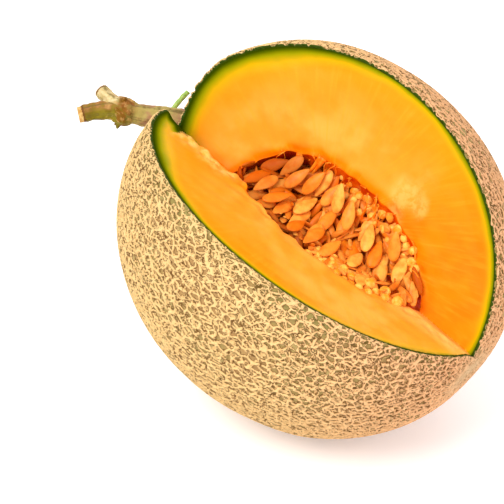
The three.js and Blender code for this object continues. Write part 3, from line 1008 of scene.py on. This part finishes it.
def scatter_tree():
    """Scatters small tapered bodies over a surface, each turned towards its `heading`."""
    group, tree, start = new_node_group("scatter", {
        "Spacing": "Float", "Length": "Float", "Width": "Float", "Thickness": "Float",
        "Taper": "Float", "Unruly": "Float", "Seed": "Int", "Coat": "Material"})
    ball = tree.add("GeometryNodeMeshUVSphere", {"Segments": 8, "Rings": 6, "Radius": 0.5})
    feeds = {"Geometry": ball.outputs[0], "Rotation": (math.pi / 2, 0, 0)}
    turned = tree.add("GeometryNodeTransform", feeds)
    place = tree.add("GeometryNodeInputPosition").outputs[0]
    parts = tree.add("ShaderNodeSeparateXYZ", {0: place}).outputs
    slim = tree.times(start["Taper"], tree.math("ADD", parts["Y"], 0.5))
    slim = tree.math("SUBTRACT", 1.0, slim)
    shaped = tree.add("ShaderNodeCombineXYZ", {
        0: tree.times(tree.times(parts["X"], slim), start["Width"]),
        1: tree.times(parts["Y"], start["Length"]),
        2: tree.times(tree.times(parts["Z"], slim), start["Thickness"])}).outputs[0]
    body = tree.add("GeometryNodeSetPosition", {"Geometry": turned.outputs[0], "Position": shaped})
    body = tree.add("GeometryNodeSetShadeSmooth", {"Geometry": body.outputs[0]})
    spread = tree.add("GeometryNodeDistributePointsOnFaces", {
        "Mesh": start["Geometry"], "Distance Min": start["Spacing"], "Density Max": 400000.0,
        "Seed": start["Seed"]}, distribute_method="POISSON")
    heading = tree.stored("heading", "FLOAT_VECTOR")
    along = tree.add("FunctionNodeAlignRotationToVector", {"Vector": heading}, axis="Y")
    upright = tree.add("FunctionNodeAlignRotationToVector", {
        "Rotation": along.outputs[0], "Vector": spread.outputs["Normal"]}, axis="Z", pivot_axis="Y")
    high = tree.vector("SCALE", (0.5, 0.5, 1.0), start["Unruly"])
    low = tree.vector("SCALE", (-0.5, -0.5, -1.0), start["Unruly"])
    feeds = {0: low, 1: high, "Seed": start["Seed"]}
    chance = tree.add("FunctionNodeRandomValue", feeds, data_type="FLOAT_VECTOR")
    wild = tree.add("FunctionNodeEulerToRotation", {0: chance.outputs[0]})
    feeds = {0: upright.outputs[0], 1: wild.outputs[0]}
    turn_by = tree.add("FunctionNodeRotateRotation", feeds, rotation_space="LOCAL")
    feeds = {"Min": 0.72, "Max": 1.1, "Seed": 3}
    size = tree.add("FunctionNodeRandomValue", feeds, data_type="FLOAT")
    placed = tree.add("GeometryNodeInstanceOnPoints", {
        "Points": spread.outputs["Points"], "Instance": body.outputs[0],
        "Rotation": turn_by.outputs[0], "Scale": size.outputs[1]})
    tone = tree.add("FunctionNodeRandomValue", {"Seed": 8}, data_type="FLOAT")
    toned = tree.add("GeometryNodeStoreNamedAttribute", {
        "Geometry": placed.outputs[0], "Name": "tone", "Value": tone.outputs[1]},
        data_type="FLOAT", domain="INSTANCE")
    tree.close(toned.outputs[0], start["Coat"])
    return group


def make_loose_seeds(floor, material):
    """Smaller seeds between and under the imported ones."""
    rows, columns = slice(14, -14, 3), slice(10, -8, 3)
    bed = pulp_bed(floor, rows, columns, LOOSE_SEED_LIFT)
    spots = np.array([tuple(v.co) for v in bed.data.vertices])
    store(bed, "heading", seed_headings(spots))
    # Painted shade: loose seeds lie under the imported ones, so all are darkened some, more in the
    # hollow and at the lips.
    store(bed, "soaked", 0.3 + 0.7 * soaked_share(spots, floor))
    bed.name = "loose_seeds"
    sizes = dict(zip(("length", "width", "thickness"), LOOSE_SEED_SIZES))
    run_nodes(bed, scatter_tree(), spacing=LOOSE_SEED_SPACING, taper=0.5, unruly=1.1, seed=4,
              coat=material, **sizes)
    finish_piece(bed, "seed")


def make_beads(floor, material):
    """Round knobs of pulp along both lips, from the middle to the blossom end."""
    far_lip = (slice(120, -22, 2), slice(-26, -4, 2), 2.2 * MM)
    near_lip = (slice(185, -20, 2), slice(4, 30, 2), 1.9 * MM)
    sizes = dict(zip(("length", "width", "thickness"), BEAD_SIZES))
    for number, (rows, columns, lift) in enumerate((far_lip, near_lip)):
        bed = pulp_bed(floor, rows, columns, lift)
        store(bed, "heading", np.tile(FRUIT_AXES[:, 2], (len(bed.data.vertices), 1)))
        bed.name = f"pulp_beads_{number + 1}"
        run_nodes(bed, scatter_tree(), spacing=BEAD_SPACING, taper=-0.3, unruly=0.9, seed=6,
                  coat=material, **sizes)
        finish_piece(bed, "flesh")


def tube(route, radii, sides):
    """Points and faces of a closed round tube along a route."""
    route = np.asarray(route)
    ahead = np.gradient(route, axis=0)
    ahead /= np.linalg.norm(ahead, axis=1)[:, None]
    side = np.cross(ahead, (0.31, 0.17, 0.93))
    side /= np.linalg.norm(side, axis=1)[:, None]
    other = np.cross(ahead, side)
    angle = np.arange(sides) * 2 * math.pi / sides
    cosine, sine = np.cos(angle)[None, :, None], np.sin(angle)[None, :, None]
    spokes = cosine * side[:, None] + sine * other[:, None]
    rings = route[:, None] + np.asarray(radii)[:, None, None] * spokes
    points = np.concatenate([rings.reshape(-1, 3), route[:1], route[-1:]])
    count = len(route) * sides
    faces = []
    for ring in range(len(route) - 1):
        for corner in range(sides):
            after = (corner + 1) % sides
            low = ring * sides
            faces.append((low + corner, low + after, low + sides + after, low + sides + corner))
    for corner in range(sides):
        after = (corner + 1) % sides
        faces.append((count, after, corner))
        faces.append((count + 1, count - sides + corner, count - sides + after))
    return points, faces


def joined(bodies):
    """Several bodies' points and faces as one."""
    points = np.concatenate([body_points for body_points, _ in bodies])
    faces = []
    count = 0
    for body_points, body_faces in bodies:
        faces += [tuple(corner + count for corner in face) for face in body_faces]
        count += len(body_points)
    return points, faces


def make_strands(floor, material):
    """Wet fibres from the lips down into the pulp and over it."""
    chance = np.random.default_rng(12)
    strands = []
    for number in range(STRAND_COUNT):
        row = chance.integers(25, FLESH_ROWS - 25)
        other_row = int(np.clip(row + chance.integers(-22, 23), 20, FLESH_ROWS - 20))
        from_lip = number % 2 == 0
        column = FLOOR_COLUMNS - 2 if from_lip else chance.integers(15, FLOOR_COLUMNS - 20)
        other_column = column + chance.choice([-1, 1]) * chance.integers(12, 34)
        other_column = int(np.clip(other_column, 6, FLOOR_COLUMNS - 12))
        start, end = floor[row, column], floor[other_row, other_column]
        share = np.linspace(0, 1, 10)[:, None]
        route = start * (1 - share) + end * share
        bend = [waves(route, 9 * MM, 70 + number + axis) for axis in range(3)]
        route = route + 0.9 * MM * np.stack(bend, axis=1)
        route[:, 2] += (0.4 * MM + 2.6 * MM * share * (1 - share) * 4)[:, 0]
        thick = chance.uniform(0.22, 0.5) * MM * (0.55 + 0.9 * np.abs(share[:, 0] - 0.4))
        strands.append(tube(valley_to_world(route), thick, 6))
    for lip_row, row, column in LONG_STRANDS:
        start, end = floor[lip_row, -1], floor[row, column] + np.array([0, 0, 2 * MM])
        share = np.linspace(0, 1, 16)[:, None]
        route = start * (1 - share) + end * share
        route[:, 2] -= (1.2 * MM * share * (1 - share) * 4)[:, 0]
        thick = MM * (0.5 + 0.9 * (share[:, 0] - 0.6) ** 2 * 3)
        strands.append(tube(valley_to_world(route), thick, 10))
    piece = mesh_object("pulp_strands", *joined(strands))
    weld(piece, 0.001 * MM)
    piece.data.materials.append(material)
    finish_piece(piece, "flesh")


def soft_wet_material(name, first, second, rough):
    material, tree, shader, place = new_material(name)
    mottle = tree.noise(place, 2.5 * MM, 2)
    colour = tree.fade(mottle, 0.35, 0.65, first, second)
    tree.feed(shader, {"Base Color": colour, "Roughness": rough, "IOR": WET_IOR})
    let_light_in(tree, shader, 0.15, 1 * MM)
    return material


def bead_material():
    return soft_wet_material("pulp_beads", paint(253, 194, 88), paint(246, 146, 32), 0.28)


def strand_material():
    return soft_wet_material("pulp_strands", paint(246, 148, 36), paint(238, 112, 10), 0.25)


# ---- stem ----

def smooth_route(corners):
    """A smooth line through corner points given in millimetres from the stem's seat."""
    corners = np.array(corners) * MM + np.array(STEM_SEAT)
    before, after = 2 * corners[:1] - corners[1:2], 2 * corners[-1:] - corners[-2:-1]
    padded = np.concatenate([before, corners, after])
    line = []
    for number in range(len(corners) - 1):
        a, b, c, d = padded[number:number + 4]
        for share in np.arange(ROUTE_STEPS) / ROUTE_STEPS:
            line.append(0.5 * (2 * b + (c - a) * share + (2 * a - 5 * b + 4 * c - d) * share ** 2
                               + (3 * b - a - 3 * c + d) * share ** 3))
    line.append(corners[-1])
    return fruit_to_world(np.array(line))


def remesh(piece, grain):
    """Turns a piece into one even skin of small faces."""
    modifier = piece.modifiers.new("even_skin", "REMESH")
    modifier.mode = "VOXEL"
    modifier.voxel_size = grain
    modifier.use_smooth_shade = True
    keep_result(piece, modifier)


def mesh_points(piece):
    """The places of a piece's points and their outward directions."""
    rows = []
    for values, key in ((piece.data.vertices, "co"), (piece.data.vertex_normals, "vector")):
        row = np.empty(len(values) * 3)
        values.foreach_get(key, row)
        rows.append(row.reshape(-1, 3))
    return rows


def nearest_on(line, points):
    """For each point, its nearest place on a line: how far along, the gap and its direction."""
    apart = np.linalg.norm(points[:, None] - line[None], axis=-1)
    nearest = apart.argmin(axis=1)
    return nearest / (len(line) - 1), apart[np.arange(len(points)), nearest], points - line[nearest]


def packed_copy(node, name):
    piece = add_object(name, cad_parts[node].data.copy())
    piece.data.materials.clear()
    weld(piece, 0.01 * MM)
    return piece


def add_spurs(piece, knot):
    """Sets short spurs, the stumps of tendrils, on the stem's knot."""
    chance = np.random.default_rng(9)
    spurs = [Vector(heading) for heading in SPUR_HEADINGS]
    spurs += [Vector(chance.normal(size=3)) for _ in range(5)]
    work = bmesh.new()
    work.from_mesh(piece.data)
    for spur in spurs:
        spur.normalize()
        tip = np.array(spur) * (KNOT_RADIUS + chance.uniform(0.5, 1.7) * MM)
        share = np.linspace(0.5, 1, 8)[:, None]
        bend = 0.6 * MM * (share - 0.5) ** 2 * chance.normal(size=3)
        points, faces = tube(knot + tip * share + bend, np.linspace(2, 0.45, 8) * MM, 10)
        corners = [work.verts.new(point) for point in points]
        for face in faces:
            work.faces.new([corners[corner] for corner in face])
    bmesh.ops.recalc_face_normals(work, faces=work.faces)
    work.to_mesh(piece.data)
    work.free()


def make_stem(bark):
    piece = packed_copy("stem", "stem_fine")
    knot = fruit_to_world(np.array(KNOT_PLACE) * MM + np.array(STEM_SEAT))
    add_spurs(piece, knot)
    remesh(piece, STEM_GRAIN)
    points, normals = mesh_points(piece)
    main = smooth_route(STEM_ROUTE)
    side = smooth_route(BRANCH_ROUTE)
    along, gap, away = nearest_on(main, points)
    side_along, side_gap, side_away = nearest_on(side, points)
    on_side = (side_gap < gap).astype(float)
    away = np.where(on_side[:, None] > 0, side_away, away)
    axis = main[-1] - main[2 * ROUTE_STEPS]
    axis = axis / np.linalg.norm(axis)
    other = np.cross(axis, (0, 0, 1))
    around = np.arctan2(away @ np.cross(axis, other), away @ other)
    knobbly = np.exp(-(np.linalg.norm(points - knot, axis=1) / (8 * MM)) ** 2)
    twist = 5 * around + 6 * along + 0.8 * waves(points, 14 * MM, 80)
    ribs = 0.22 * MM * np.cos(twist) * (1 - knobbly)
    rough = 0.16 * MM * waves(points, 3.2 * MM, 81)
    rough = rough + 0.5 * MM * knobbly * waves(points, 4.5 * MM, 82)
    far_out = np.maximum(along * (1 - on_side), side_along * on_side)
    end = smooth_step((far_out - 0.935) / 0.045)
    moved = points + normals * ((ribs + rough) * (1 - end))[:, None]
    piece.data.vertices.foreach_set("co", moved.ravel())
    branch = on_side * smooth_step(side_along * 3)
    top = smooth_step((normals[:, 2] - 0.1) / 0.7)
    for name, values in (("along", along), ("branch", branch), ("knot", knobbly), ("end", end),
                         ("top", top), ("around", around)):
        store(piece, name, values)
    piece.data.materials.append(bark)
    smooth_faces(piece)
    finish_piece(piece, "stem_bark", "stem")


def bark_material():
    material, tree, shader, place = new_material("stem_bark")
    grain = tree.noise(place, 2.2 * MM, 4, 0.6)
    patches = tree.noise(place, 6 * MM, 3, 0.55)
    along = tree.attribute("along")
    neck = tree.fade(patches, 0.4, 0.62, paint(172, 152, 86), paint(160, 118, 86))
    olive = tree.fade(patches, 0.38, 0.64, paint(130, 116, 26), paint(104, 92, 14))
    body = tree.fade(along, 0.5, 0.66, neck, olive)
    weathered = tree.times(tree.attribute("top"), tree.ramp(along, 0.5, 0.66))
    weathered = tree.times(weathered, tree.ramp(grain, 0.4, 0.6, 0.35, 1.0))
    body = tree.mix(weathered, body, paint(152, 104, 58))
    branch = tree.fade(grain, 0.35, 0.65, paint(218, 196, 146), paint(182, 160, 100))
    body = tree.mix(tree.attribute("branch"), body, branch)
    ribs = tree.math("COSINE", tree.times(tree.attribute("around"), 5))
    lines = tree.ramp(ribs, -0.4, -0.95)
    lines = tree.times(lines, tree.ramp(grain, 0.4, 0.6, 0.2, 0.75))
    body = tree.mix(lines, body, paint(94, 84, 40))
    scars = tree.times(tree.attribute("knot"), tree.ramp(patches, 0.51, 0.59))
    body = tree.mix(tree.times(scars, 0.95), body, paint(138, 74, 14))
    cork = tree.times(tree.attribute("knot"), tree.ramp(grain, 0.52, 0.66))
    body = tree.mix(tree.times(cork, 0.8), body, paint(214, 168, 98))
    end = tree.attribute("end")
    ring = tree.times(tree.ramp(end, 0.05, 0.45), tree.ramp(end, 0.95, 0.6))
    cut_wood = tree.fade(grain, 0.35, 0.65, paint(220, 184, 118), paint(184, 136, 70))
    body = tree.fade(end, 0.55, 0.95, body, cut_wood)
    body = tree.mix(tree.times(ring, 0.85), body, paint(104, 62, 26))
    tree.feed(shader, {"Base Color": body, "Roughness": 0.7, "Specular IOR Level": 0.1})
    roughen(tree, shader, grain, 0.6, 0.4 * MM)
    return material


def make_stalk(green):
    piece = packed_copy("side_stalk", "side_stalk_fine")
    remesh(piece, 0.2 * MM)
    points, normals = mesh_points(piece)
    moved = points + normals * (0.07 * MM * waves(points, 2.4 * MM, 90))[:, None]
    piece.data.vertices.foreach_set("co", moved.ravel())
    piece.data.materials.append(green)
    smooth_faces(piece)
    finish_piece(piece, "green_stalk", "side_stalk")


def stalk_material():
    material, tree, shader, place = new_material("green_stalk")
    drawn = tree.vector("MULTIPLY", place, (1, 1, 0.25))
    streaks = tree.noise(drawn, 0.9 * MM, 3)
    patches = tree.noise(place, 4 * MM, 2)
    colour = tree.fade(streaks, 0.35, 0.65, paint(176, 200, 96), paint(136, 172, 66))
    colour = tree.mix(tree.ramp(patches, 0.55, 0.75, 0.0, 0.6), colour, paint(196, 206, 128))
    tree.feed(shader, {"Base Color": colour, "Roughness": 0.5})
    roughen(tree, shader, streaks, 0.4, 0.15 * MM)
    return material


# ---- what goes together ----

def finish_piece(piece, slot, *nodes):
    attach(piece, "root")
    if nodes:
        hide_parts(*nodes)


def add_floor():
    corners = np.array([(-1, -1), (1, -1), (1, 1), (-1, 1)]) * FLOOR_HALF_WIDTH
    points = np.column_stack([corners, np.full(4, -0.1 * MM)])
    floor = mesh_object("floor", points, [(0, 1, 2, 3)])
    material = bpy.data.materials.new("pale_table")
    material.use_nodes = True
    Tree(material.node_tree).feed(material.node_tree.nodes["Principled BSDF"], {
        "Base Color": (0.95, 0.925, 0.93, 1), "Roughness": 0.6,
        "Emission Color": (1, 0.97, 0.98, 1), "Emission Strength": 0.28})
    floor.data.materials.append(material)


add_camera()
light_studio()
add_floor()
make_rind(rind_material())
cavity_floor = make_flesh(flesh_material())
seed_coat = seed_material()
make_seeds(cavity_floor, seed_coat)
make_loose_seeds(cavity_floor, seed_coat)
make_beads(cavity_floor, bead_material())
make_strands(cavity_floor, strand_material())
make_stem(bark_material())
make_stalk(stalk_material())
